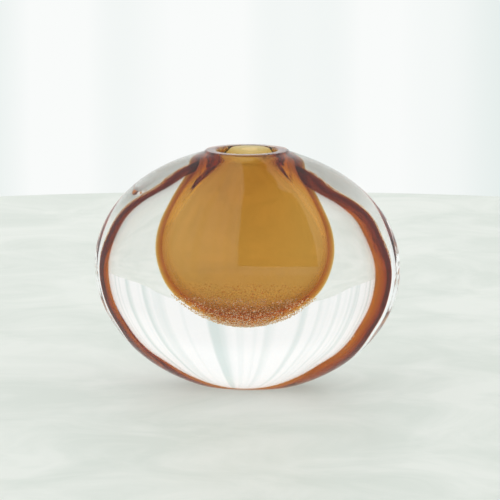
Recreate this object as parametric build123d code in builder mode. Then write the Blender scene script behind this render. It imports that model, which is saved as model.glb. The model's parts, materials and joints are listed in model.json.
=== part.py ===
from build123d import *
import os
from math import acos, cos, pi, sin

# Bud vase of cased glass, in millimetres. It stands on z = 0 with its broad face towards -Y.
# Three gathers of glass are fused, one over the other: amber, seed bubbles, then the heavy clear one.

# clear casing
body_width = 152.0
body_depth = 72.0
body_height = 117.0
belly_level = 59.0         # height at which the body is widest
base_width = 50.0          # width of the ground and polished flat that it stands on
lip_clear_wall = 4.2       # clear glass round the amber at the lip
lower_fullness = 0.7       # 1 gives an oval side view; less keeps the thickness nearer the edge
upper_fullness = 1.0
shoulder_hold = 5.0        # the higher, the later the oval shoulder turns into the round lip
lip_round = 1.2            # fire-polished edge, outside on the casing and inside on the amber
base_round = 0.6           # broken edge round the ground flat

# amber lining
bulb_width = 82.0
bulb_depth = 30.0
bulb_level = 67.5          # height at which the flask is widest
bulb_floor = 34.0          # height of the amber's underside
bore_diameter = 30.0
neck_length = 5.0          # straight part of the neck, measured down from the lip
shoulder_sweep = 1.45      # 1 leaves a corner at the foot of the neck; more sweeps into it
hollow_sweep = 1.1         # the same, inside
amber_wall = 3.0           # at the widest level
foot_wall = 6.5            # at the foot of the neck, each side
foot_depth_wall = 3.0      # the same, front and back
lip_wall = 1.8             # amber showing round the bore at the lip
floor_wall = 3.5           # under the hollow

# seed-bubble layer
bubble_wall = 1.6          # thickness underneath; it thins as it climbs the bulb
bubble_rise = 13.0         # how far its upper edge stands above the amber's underside

weld_gap = 0.02            # hairline between fused gathers, so that no two solids share space
loft_steps = 10            # sections in each half of a loft

body_x = body_width / 2
body_y = body_depth / 2
bulb_x = bulb_width / 2
bulb_y = bulb_depth / 2
bore_radius = bore_diameter / 2
lip_radius = bore_radius + lip_wall + lip_clear_wall
neck_foot = body_height - neck_length
bubble_rim = bulb_floor + bubble_rise

# Seen from the front, the body is one ellipse below its belly and another above, each cut off flat.
base_angle = acos(base_width / body_width)
lip_angle = acos(lip_radius / body_x)
lower_radius = belly_level / sin(base_angle)
upper_radius = (body_height - belly_level) / sin(lip_angle)
lip_spread = lip_radius - body_y * cos(lip_angle) ** upper_fullness


# A bowl: the lower half of an ellipsoid, widest and cut off flat at its rim.
def bowl(half_width, half_depth, rim, underside):
    with BuildPart() as form:
        with BuildSketch(Plane.XZ):
            with BuildLine():
                EllipticalCenterArc((0, rim), half_width, rim - underside, start_angle=270, arc_size=90)
                Polyline((half_width, rim), (0, rim), (0, underside))
            make_face()
        revolve(axis=Axis.Z)
        scale(by=(1, half_depth / half_width, 1))
    return form.part


# A bulb: a bowl below, and shoulders that run from its rim up to the foot of the neck.
def bulb(half_width, half_depth, underside, foot_x, foot_y, sweep):
    with BuildPart() as form:
        add(bowl(half_width, half_depth, bulb_level, underside))
        for step in range(loft_steps + 1):
            rise = step / loft_steps
            swell = cos(pi / 2 * rise) ** sweep
            with BuildSketch(Plane.XY.offset(bulb_level + (neck_foot - bulb_level) * rise)):
                Ellipse(foot_x + (half_width - foot_x) * swell, foot_y + (half_depth - foot_y) * swell)
        loft()
    return form.part


# The outside of the amber, with a margin: a bulb, and a neck that closes to a circle at the lip.
def amber_form(margin):
    foot_x = bore_radius + foot_wall + margin
    foot_y = bore_radius + foot_depth_wall + margin
    with BuildPart() as form:
        add(bulb(bulb_x + margin, bulb_y + margin, bulb_floor - margin, foot_x, foot_y, shoulder_sweep))
        with BuildSketch(Plane.XY.offset(neck_foot)):
            Ellipse(foot_x, foot_y)
        with BuildSketch(Plane.XY.offset(body_height)):
            Circle(bore_radius + lip_wall + margin)
        loft()
    return form.part


# The bubble gather is the amber's underside again, sunk by its own thickness and cut off at its rim.
def bubble_form(margin):
    with BuildPart() as form:
        level = bulb_level - bubble_wall
        add(bowl(bulb_x + margin, bulb_y + margin, level, bulb_floor - bubble_wall - margin))
        split(bisect_by=Plane.XY.offset(bubble_rim + margin), keep=Keep.BOTTOM)
    return form.part


with BuildPart() as amber_lining:
    add(amber_form(0))
    hollow_floor = bulb_floor + floor_wall
    hollow_x = bulb_x - amber_wall
    hollow_y = bulb_y - amber_wall
    add(bulb(hollow_x, hollow_y, hollow_floor, bore_radius, bore_radius, hollow_sweep), mode=Mode.SUBTRACT)
    with BuildSketch(Plane.XY.offset(neck_foot)):
        Circle(bore_radius)
    extrude(amount=neck_length, mode=Mode.SUBTRACT)
    mouth_edges = amber_lining.edges().filter_by(GeomType.CIRCLE).group_by(Axis.Z)[-1]
    fillet(mouth_edges.sort_by(SortBy.RADIUS)[0], radius=lip_round)

with BuildPart() as bubble_layer:
    add(bubble_form(0))
    add(amber_form(weld_gap), mode=Mode.SUBTRACT)

with BuildPart() as clear_casing:
    for step in range(-loft_steps, loft_steps + 1):
        share = abs(step) / loft_steps
        if step < 0:
            angle = base_angle * share
            level = belly_level - lower_radius * sin(angle)
            half_depth = body_y * cos(angle) ** lower_fullness
        else:
            angle = lip_angle * share
            level = belly_level + upper_radius * sin(angle)
            half_depth = body_y * cos(angle) ** upper_fullness + lip_spread * share**shoulder_hold
        with BuildSketch(Plane.XY.offset(level)):
            Ellipse(body_x * cos(angle), half_depth)
    loft()
    fillet(clear_casing.edges().group_by(Axis.Z)[0], radius=base_round)
    fillet(clear_casing.edges().group_by(Axis.Z)[-1], radius=lip_round)
    add(amber_form(weld_gap), mode=Mode.SUBTRACT)
    add(bubble_form(weld_gap), mode=Mode.SUBTRACT)

os.makedirs("parts", exist_ok=True)
amber_lining.part.label = "amber_lining"
bubble_layer.part.label = "bubble_layer"
clear_casing.part.label = "clear_casing"
export_step(amber_lining.part, "parts/amber_lining.step")
export_step(bubble_layer.part, "parts/bubble_layer.step")
export_step(clear_casing.part, "parts/clear_casing.step")
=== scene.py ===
import bpy
import json
import math
import random
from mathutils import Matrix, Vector


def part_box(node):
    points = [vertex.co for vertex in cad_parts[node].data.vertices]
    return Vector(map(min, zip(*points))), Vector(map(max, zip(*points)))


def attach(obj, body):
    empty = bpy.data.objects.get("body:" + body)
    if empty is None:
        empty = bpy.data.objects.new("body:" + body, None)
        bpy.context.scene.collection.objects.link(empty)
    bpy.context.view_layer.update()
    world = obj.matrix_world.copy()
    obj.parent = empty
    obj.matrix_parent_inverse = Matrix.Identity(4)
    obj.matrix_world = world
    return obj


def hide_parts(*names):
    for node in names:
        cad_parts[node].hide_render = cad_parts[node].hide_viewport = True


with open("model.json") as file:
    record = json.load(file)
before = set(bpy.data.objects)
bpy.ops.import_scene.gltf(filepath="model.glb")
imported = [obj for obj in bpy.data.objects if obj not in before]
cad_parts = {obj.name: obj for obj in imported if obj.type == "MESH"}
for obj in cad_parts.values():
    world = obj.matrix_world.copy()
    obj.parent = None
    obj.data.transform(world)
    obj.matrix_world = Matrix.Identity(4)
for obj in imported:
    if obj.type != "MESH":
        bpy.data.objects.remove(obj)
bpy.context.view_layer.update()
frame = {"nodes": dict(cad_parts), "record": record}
print("frame loaded:", ", ".join(frame["nodes"]))

mm = 0.001
casingLow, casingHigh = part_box("clear_casing")
liningLow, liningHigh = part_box("amber_lining")
bubbleLow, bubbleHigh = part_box("bubble_layer")
mouth = next(m for m in frame["record"]["mounts"] if m["name"] == "mouth")
boreRadius = mouth["dims"]["r_mm"] * mm
bodyHeight = casingHigh[2]


def clearSelection():
    if bpy.context.object and bpy.context.object.mode != "OBJECT":
        bpy.ops.object.mode_set(mode="OBJECT")
    bpy.ops.object.select_all(action="DESELECT")


def linearColor(hexText):
    # sRGB hex to the linear values that the shaders work in
    levels = [int(hexText[i:i + 2], 16) / 255 for i in (1, 3, 5)]
    return [v / 12.92 if v <= 0.04045 else ((v + 0.055) / 1.055) ** 2.4 for v in levels] + [1]


def addNode(tree, kind, settings=None, values=None, links=None):
    # settings go on the node, values on its sockets, and links join other nodes' outputs to its sockets
    node = tree.nodes.new(kind)
    for name, value in (settings or {}).items():
        setattr(node, name, value)
    for name, value in (values or {}).items():
        node.inputs[name].default_value = value
    for name, output in (links or {}).items():
        tree.links.new(output, node.inputs[name])
    return node


def newMaterial(name):
    material = bpy.data.materials.new(name)
    material.use_nodes = True
    material.node_tree.nodes.clear()
    return material, material.node_tree


def applyModifier(piece, kind, settings):
    modifier = piece.modifiers.new(kind.title(), kind)
    for name, value in settings.items():
        setattr(modifier, name, value)
    bpy.context.view_layer.objects.active = piece
    bpy.ops.object.modifier_apply(modifier=modifier.name)


def drawUp(name, rings, segments):
    # one small disc, extruded from ring to ring: each ring is (half width, half depth, level)
    clearSelection()
    lastX, lastY, lastZ = rings[0]
    bpy.ops.mesh.primitive_circle_add(vertices=segments, radius=1, fill_type="TRIFAN", location=(0, 0, lastZ))
    piece = bpy.context.object
    piece.name = name
    piece.data.name = name
    bpy.ops.object.transform_apply(location=True)
    bpy.ops.object.mode_set(mode="EDIT")
    bpy.ops.mesh.select_all(action="SELECT")
    bpy.ops.transform.resize(value=(lastX, lastY, 1), center_override=(0, 0, lastZ))
    for ringX, ringY, ringZ in rings[1:]:
        bpy.ops.mesh.extrude_region_move(TRANSFORM_OT_translate={"value": (0, 0, ringZ - lastZ)})
        bpy.ops.transform.resize(value=(ringX / lastX, ringY / lastY, 1), center_override=(0, 0, ringZ))
        lastX, lastY, lastZ = ringX, ringY, ringZ
    bpy.ops.mesh.select_all(action="SELECT")
    bpy.ops.mesh.normals_make_consistent(inside=False)
    bpy.ops.object.mode_set(mode="OBJECT")
    applyModifier(piece, "SUBSURF", {"levels": 2, "render_levels": 2})
    bpy.ops.object.shade_smooth()
    return piece


# Camera: a long lens a little above the shoulder, and a little to the right of square on

view = {
    "distance": 1.8,
    "elevation": 9.5,
    "azimuth": 7.0,
    "bodyShare": 0.617,     # share of the frame's width that the body takes
    "aimLevel": 67.0,       # height looked at, so that there is more room above than below
    "aimAside": 1.6,        # how far to the right of the axis
}


def setCamera():
    up = math.radians(view["elevation"])
    round_ = math.radians(view["azimuth"])
    away = Vector((math.sin(round_) * math.cos(up), -math.cos(round_) * math.cos(up), math.sin(up)))
    aim = Vector((view["aimAside"] * mm, 0, view["aimLevel"] * mm))
    clearSelection()
    bpy.ops.object.camera_add(location=aim + away * view["distance"])
    camera = bpy.context.object
    camera.name = "camera"
    camera.rotation_euler = away.to_track_quat("Z", "Y").to_euler()
    camera.data.sensor_width = 36
    camera.data.lens = 36 * view["bodyShare"] * view["distance"] / (casingHigh[0] - casingLow[0])
    bpy.context.scene.camera = camera


setCamera()
print("camera set")


# Table and daylight

stone = {
    "radius": 0.642,
    "thickness": 0.03,
    "edgeRound": 0.003,
    "airFilm": 0.3,         # mm: a ground flat never lies on a table without a film of air
    "cloud": "#afb3ad",
    "ground": "#babcb7",
    "cloudSpread": 71.43,   # mm from one cloud in the stone to the next
    # painted light: the stone glows in its own tint, which lifts the shade under and round the glass
    "paintedGlow": 0.6,
}

room = {
    "curtain": "#f9fbfa",
    "curtainFold": "#dce7e4",
    "foldsPerTurn": 84,
    "daylight": 1.0,
    "ceiling": 1.09,        # the room is brighter higher up
    "ceilingFrom": 0.02,    # sines of the heights between which it brightens
    "ceilingTo": 0.25,
    "doorway": "#8a857d",   # a darker doorway in front, which the glass mirrors as a faint pane
    "doorwayTurn": 9.0,     # degrees to the right of straight in front
    "doorwayHalfTurn": 16.0,
    "doorwayTop": 0.74,     # sine of its height above the table's level
}


def makeTable():
    clearSelection()
    centre = -stone["thickness"] / 2 - stone["airFilm"] * mm
    bpy.ops.mesh.primitive_cylinder_add(
        vertices=256, radius=stone["radius"], depth=stone["thickness"], location=(0, 0, centre))
    table = bpy.context.object
    table.name = "tableTop"
    bpy.ops.object.transform_apply(location=True)
    applyModifier(table, "BEVEL", {"width": stone["edgeRound"], "segments": 4, "limit_method": "ANGLE"})
    bpy.ops.object.shade_smooth_by_angle(angle=math.radians(35))
    # honed pale stone: matt, nearly white, with a faint cloud to it. It also glows in its own tint: painted light
    # that lifts the shade under the glass and stands in for the light that the glass lets through onto the stone.
    material, tree = newMaterial("honedStone")
    place = addNode(tree, "ShaderNodeTexCoord")
    cloud = addNode(tree, "ShaderNodeTexNoise", {},
                    {"Scale": 1 / (stone["cloudSpread"] * mm), "Detail": 5.0, "Roughness": 0.6, "Distortion": 0.8},
                    {"Vector": place.outputs["Object"]})
    tint = addNode(tree, "ShaderNodeValToRGB", {}, {}, {"Fac": cloud.outputs["Fac"]})
    tint.color_ramp.elements[0].position = 0.38
    tint.color_ramp.elements[0].color = linearColor(stone["cloud"])
    tint.color_ramp.elements[1].position = 0.62
    tint.color_ramp.elements[1].color = linearColor(stone["ground"])
    shade = addNode(tree, "ShaderNodeBsdfPrincipled", {}, {"Roughness": 0.5, "Emission Strength": stone["paintedGlow"]},
                    {"Base Color": tint.outputs["Color"], "Emission Color": tint.outputs["Color"]})
    addNode(tree, "ShaderNodeOutputMaterial", {}, {}, {"Surface": shade.outputs["BSDF"]})
    table.data.materials.append(material)


def makeDaylight():
    world = bpy.data.worlds.new("daylight")
    bpy.context.scene.world = world
    world.use_nodes = True
    tree = world.node_tree
    tree.nodes.clear()
    place = addNode(tree, "ShaderNodeTexCoord")
    axes = addNode(tree, "ShaderNodeSeparateXYZ", {}, {}, {"Vector": place.outputs["Generated"]})
    turn = addNode(tree, "ShaderNodeMath", {"operation": "ARCTAN2"}, {},
                   {0: axes.outputs["X"], 1: axes.outputs["Y"]})
    folds = addNode(tree, "ShaderNodeTexNoise", {"noise_dimensions": "1D"},
                    {"Scale": room["foldsPerTurn"] / (2 * math.pi), "Detail": 1.6, "Roughness": 0.5},
                    {"W": turn.outputs["Value"]})
    curtain = addNode(tree, "ShaderNodeValToRGB", {}, {}, {"Fac": folds.outputs["Fac"]})
    curtain.color_ramp.elements[0].position = 0.34
    curtain.color_ramp.elements[0].color = linearColor(room["curtainFold"])
    curtain.color_ramp.elements[1].position = 0.52
    curtain.color_ramp.elements[1].color = linearColor(room["curtain"])
    # the doorway: a pane of directions round one in front
    behind = addNode(tree, "ShaderNodeMath", {"operation": "MULTIPLY"}, {1: -1.0}, {0: axes.outputs["Y"]})
    frontTurn = addNode(tree, "ShaderNodeMath", {"operation": "ARCTAN2"}, {},
                        {0: axes.outputs["X"], 1: behind.outputs["Value"]})
    across = addNode(tree, "ShaderNodeMath", {"operation": "COMPARE"},
                     {1: math.radians(room["doorwayTurn"]), 2: math.radians(room["doorwayHalfTurn"])},
                     {0: frontTurn.outputs["Value"]})
    upright = addNode(tree, "ShaderNodeMath", {"operation": "COMPARE"},
                      {1: room["doorwayTop"] / 2, 2: room["doorwayTop"] / 2}, {0: axes.outputs["Z"]})
    inDoorway = addNode(tree, "ShaderNodeMath", {"operation": "MULTIPLY"}, {},
                        {0: across.outputs["Value"], 1: upright.outputs["Value"]})
    walls = addNode(tree, "ShaderNodeMix", {"data_type": "RGBA"}, {7: linearColor(room["doorway"])},
                    {0: inDoorway.outputs["Value"], 6: curtain.outputs["Color"]})
    overhead = addNode(tree, "ShaderNodeMapRange", {"interpolation_type": "SMOOTHSTEP"},
                       {"From Min": room["ceilingFrom"], "From Max": room["ceilingTo"],
                        "To Min": room["daylight"], "To Max": room["ceiling"]},
                       {"Value": axes.outputs["Z"]})
    light = addNode(tree, "ShaderNodeBackground", {}, {},
                    {"Color": walls.outputs[2], "Strength": overhead.outputs["Result"]})
    addNode(tree, "ShaderNodeOutputWorld", {}, {}, {"Surface": light.outputs["Background"]})


makeTable()
makeDaylight()
scene = bpy.context.scene
scene.view_settings.view_transform = "Standard"
# light goes round inside the thick glass many times, and each turn inside it counts as a glossy bounce
scene.cycles.max_bounces = 64
scene.cycles.transmission_bounces = 64
scene.cycles.glossy_bounces = 48
scene.cycles.transparent_max_bounces = 16
print("table and daylight made")


# Glass body and amber flask: both follow the same outlines, in millimetres

flask = {
    "segments": 64,
    "bulbLevel": 67.5,      # where the flask is widest
    "bulbHalfDepth": 15.0,
    "shoulderSweep": 1.45,  # 1 leaves a corner at the foot of the neck; more sweeps into it
    "hollowSweep": 1.1,     # the same, inside
    "neckLength": 5.0,
    "amberWall": 3.0,
    "floorWall": 3.5,
    "footWall": 6.5,        # amber at the foot of the neck, each side
    "footDepthWall": 3.0,   # the same, front and back
    "lipWall": 1.8,
    "steps": 12,
    "lowestRing": 88.0,     # degrees below the widest level, where the first small ring of the bulb lies
    "skin": 0.08,           # clear skin that keeps the two bodies' faces apart
}

body = {
    "segments": 64,
    "bellyLevel": 59.0,
    "baseHalfWidth": 25.0,
    "lipRadius": 21.0,
    "lipRound": 1.2,
    "fullness": 0.7,        # of the lower half, seen from the side: 1 is an oval
    "upperFullness": 1.0,
    "shoulderHold": 5.0,
    "waver": 0.004,         # share of the depth by which the hand-shaped faces rise and fall
    "steps": 14,
}

neckFoot = bodyHeight - flask["neckLength"] * mm
bulbHalfWidth = liningHigh[0]
amberFloor = liningLow[2]


def bulbRings(halfWidth, halfDepth, underside, footX, footY, sweep, upwards=True):
    # from a small ring at the very bottom to the foot of the neck
    level = flask["bulbLevel"] * mm
    rings = []
    for step in range(flask["steps"]):
        angle = math.radians(flask["lowestRing"]) * (1 - step / flask["steps"])
        rings.append((halfWidth * math.cos(angle), halfDepth * math.cos(angle),
                      level - (level - underside) * math.sin(angle)))
    for step in range(flask["steps"] + 1):
        rise = step / flask["steps"]
        swell = max(0, math.cos(math.pi / 2 * rise)) ** sweep
        rings.append((footX + (halfWidth - footX) * swell, footY + (halfDepth - footY) * swell,
                      level + (neckFoot - level) * rise))
    return rings if upwards else rings[::-1]


def arcRings(radius, across, level, fromAngle, toAngle, steps=3):
    # a rounded edge of that radius about a circle: across is the radius to the arc's centre
    rings = []
    for step in range(steps + 1):
        angle = math.radians(fromAngle + (toAngle - fromAngle) * step / steps)
        ring = across + radius * math.cos(angle)
        rings.append((ring, ring, level + radius * math.sin(angle)))
    return rings


def hollowRings(skin):
    # the air side of the flask from the bore's rounded edge down to the floor, as seen from the glass
    lipRound = body["lipRound"] * mm
    rings = arcRings(lipRound - skin, boreRadius + lipRound, bodyHeight - lipRound, 90, 180)
    bore = boreRadius + skin
    for share in (0.3, 0.7):
        rings.append((bore, bore, bodyHeight - lipRound - share * (flask["neckLength"] * mm - lipRound)))
    wall = flask["amberWall"] * mm
    rings += bulbRings(bulbHalfWidth - wall + skin, flask["bulbHalfDepth"] * mm - wall + skin,
                       amberFloor + flask["floorWall"] * mm - skin, bore, bore, flask["hollowSweep"], upwards=False)
    return rings


def makeCasing():
    baseAngle = math.acos(body["baseHalfWidth"] * mm / casingHigh[0])
    lipAngle = math.acos(body["lipRadius"] * mm / casingHigh[0])
    belly = body["bellyLevel"] * mm
    lipRadius = body["lipRadius"] * mm
    lipRound = body["lipRound"] * mm
    shoulderTop = bodyHeight - lipRound
    lipSpread = lipRadius - casingHigh[1] * math.cos(lipAngle) ** body["upperFullness"]
    baseX = casingHigh[0] * math.cos(baseAngle)
    baseY = casingHigh[1] * math.cos(baseAngle) ** body["fullness"]
    rings = [(baseX * share, baseY * share, 0) for share in (0.03, 0.4, 0.75, 0.96)]
    for step in range(body["steps"]):
        angle = baseAngle * (1 - step / body["steps"])
        waver = 1 - body["waver"] * (1 - math.sin(1.9 * step + 0.6))
        rings.append((casingHigh[0] * math.cos(angle), casingHigh[1] * waver * math.cos(angle) ** body["fullness"],
                      belly - belly * math.sin(angle) / math.sin(baseAngle)))
    for step in range(body["steps"]):
        rise = step / body["steps"]
        angle = lipAngle * rise
        waver = 1 - body["waver"] * (1 - math.cos(1.7 * step))
        rings.append((casingHigh[0] * math.cos(angle),
                      casingHigh[1] * waver * math.cos(angle) ** body["upperFullness"]
                      + lipSpread * rise ** body["shoulderHold"],
                      belly + (shoulderTop - belly) * math.sin(angle) / math.sin(lipAngle)))
    rings += arcRings(lipRound, lipRadius - lipRound, shoulderTop, 0, 90)
    rings += hollowRings(0)
    return drawUp("clearCasing", rings, body["segments"])


def makeLining():
    skin = flask["skin"] * mm
    footX = boreRadius + flask["footWall"] * mm
    footY = boreRadius + flask["footDepthWall"] * mm
    lipX = boreRadius + flask["lipWall"] * mm
    rings = bulbRings(bulbHalfWidth, flask["bulbHalfDepth"] * mm, amberFloor, footX, footY, flask["shoulderSweep"])
    for share in (0.33, 0.67, 0.93):
        rings.append((footX + (lipX - footX) * share, footY + (lipX - footY) * share,
                      neckFoot + (bodyHeight - neckFoot) * share))
    rings += [(lipX, lipX, bodyHeight - skin)]
    rings += hollowRings(skin)
    return drawUp("amberLining", rings, flask["segments"])


# Seed bubbles: the layer of soda bubbles picked up round the underside of the flask

seeds = {
    "count": 4000,
    "smallest": 0.16,       # radius, in millimetres
    "largest": 0.42,
    "layer": 1.55,          # how far out from the amber they lie
    "crowding": 2.0,        # the higher, the more of them lie near the bottom
    "flattest": 0.7,        # height of the flattest bubble, as a share of its width
}


def makeSeeds():
    pick = random.Random(5)
    low = bubbleLow[2]
    high = bubbleHigh[2]
    level = flask["bulbLevel"] * mm
    clearSelection()
    bpy.ops.mesh.primitive_uv_sphere_add(segments=8, ring_count=4, radius=mm)
    bubble = bpy.context.object
    bubble.name = "seedBubbles"
    bubble.data.name = "seedBubbles"
    bpy.ops.object.shade_smooth()
    made = 0
    while made < seeds["count"]:
        gap = pick.uniform(seeds["largest"], seeds["layer"] - seeds["largest"]) * mm
        halfWidth, halfDepth = bulbHalfWidth + gap, flask["bulbHalfDepth"] * mm + gap
        fall = pick.uniform(0, 1) ** seeds["crowding"]
        z = low + (high - low) * fall
        sunk = (level - z) / (level - amberFloor + gap)
        if sunk >= 0.999:
            continue
        ring = math.sqrt(1 - sunk * sunk)
        turn = pick.uniform(0, 2 * math.pi)
        if pick.random() > math.hypot(halfWidth * math.sin(turn), halfDepth * math.cos(turn)) / halfWidth:
            continue
        size = seeds["smallest"] + (seeds["largest"] - seeds["smallest"]) * pick.random() ** 2
        copy = bubble.copy()
        copy.data = bubble.data.copy()
        copy.location = (halfWidth * ring * math.cos(turn), halfDepth * ring * math.sin(turn), z)
        copy.scale = (size, size, size * pick.uniform(seeds["flattest"], 1.0))
        bpy.context.collection.objects.link(copy)
        copy.select_set(True)
        made += 1
    bubble.scale = (seeds["smallest"],) * 3
    bubble.location = (0, 0, low + seeds["layer"] * mm / 2)
    bpy.context.view_layer.objects.active = bubble
    bpy.ops.object.join()
    bpy.ops.object.transform_apply(location=True, rotation=True, scale=True)
    return bubble


clearCasing = makeCasing()
print("casing made:", len(clearCasing.data.polygons), "faces")
amberLining = makeLining()
print("lining made:", len(amberLining.data.polygons), "faces")
seedBubbles = makeSeeds()
print("seed bubbles made:", len(seedBubbles.data.polygons), "faces")


# Glass

glass = {
    "index": 1.52,
    "amber": "#efd03f",     # what is left of white light, so blue goes first and then green
    "amberDensity": 560.0,
    "bubbleIndex": 0.66,    # air seen from inside the glass
    "bubbleTint": "#fff3de",
}

# Soda-lime glass, hot-worked and fire-polished: water-clear and perfectly smooth close to, so it has no texture of
# its own. The slow waver of a hand-shaped face is in the mesh, and shows in the way that it bends what is behind.
material, tree = newMaterial("clearSodaLimeGlass")
clear = addNode(tree, "ShaderNodeBsdfPrincipled", {},
                {"Base Color": (1, 1, 1, 1), "Roughness": 0.0, "IOR": glass["index"], "Transmission Weight": 1.0})
addNode(tree, "ShaderNodeOutputMaterial", {}, {}, {"Surface": clear.outputs["BSDF"]})
clearCasing.data.materials.append(material)

# Amber glass: the colour is in its depth, so thin walls are golden and thick ones brown. The gathers are fused,
# with no face between them, so this one does not bend light of its own.
material, tree = newMaterial("amberGlass")
amber = addNode(tree, "ShaderNodeBsdfPrincipled", {},
                {"Base Color": (1, 1, 1, 1), "Roughness": 0.0, "IOR": 1.0, "Transmission Weight": 1.0})
depth = addNode(tree, "ShaderNodeVolumeAbsorption", {},
                {"Color": linearColor(glass["amber"]), "Density": glass["amberDensity"]})
addNode(tree, "ShaderNodeOutputMaterial", {}, {},
        {"Surface": amber.outputs["BSDF"], "Volume": depth.outputs["Volume"]})
amberLining.data.materials.append(material)

# Seed bubbles: air in the clear glass, from soda thrown on it hot. Each is a tiny lens the wrong way round, bright on
# one side and dark on the other. They are drawn larger and fewer than real ones, which are too fine to show.
material, tree = newMaterial("seedBubbleAir")
air = addNode(tree, "ShaderNodeBsdfGlass", {},
              {"Color": linearColor(glass["bubbleTint"]), "Roughness": 0.0, "IOR": glass["bubbleIndex"]})
addNode(tree, "ShaderNodeOutputMaterial", {}, {}, {"Surface": air.outputs["BSDF"]})
seedBubbles.data.materials.append(material)
print("glass melted")

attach(clearCasing, "root")
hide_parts("clear_casing")
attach(amberLining, "root")
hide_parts("amber_lining")
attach(seedBubbles, "root")
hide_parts("bubble_layer")
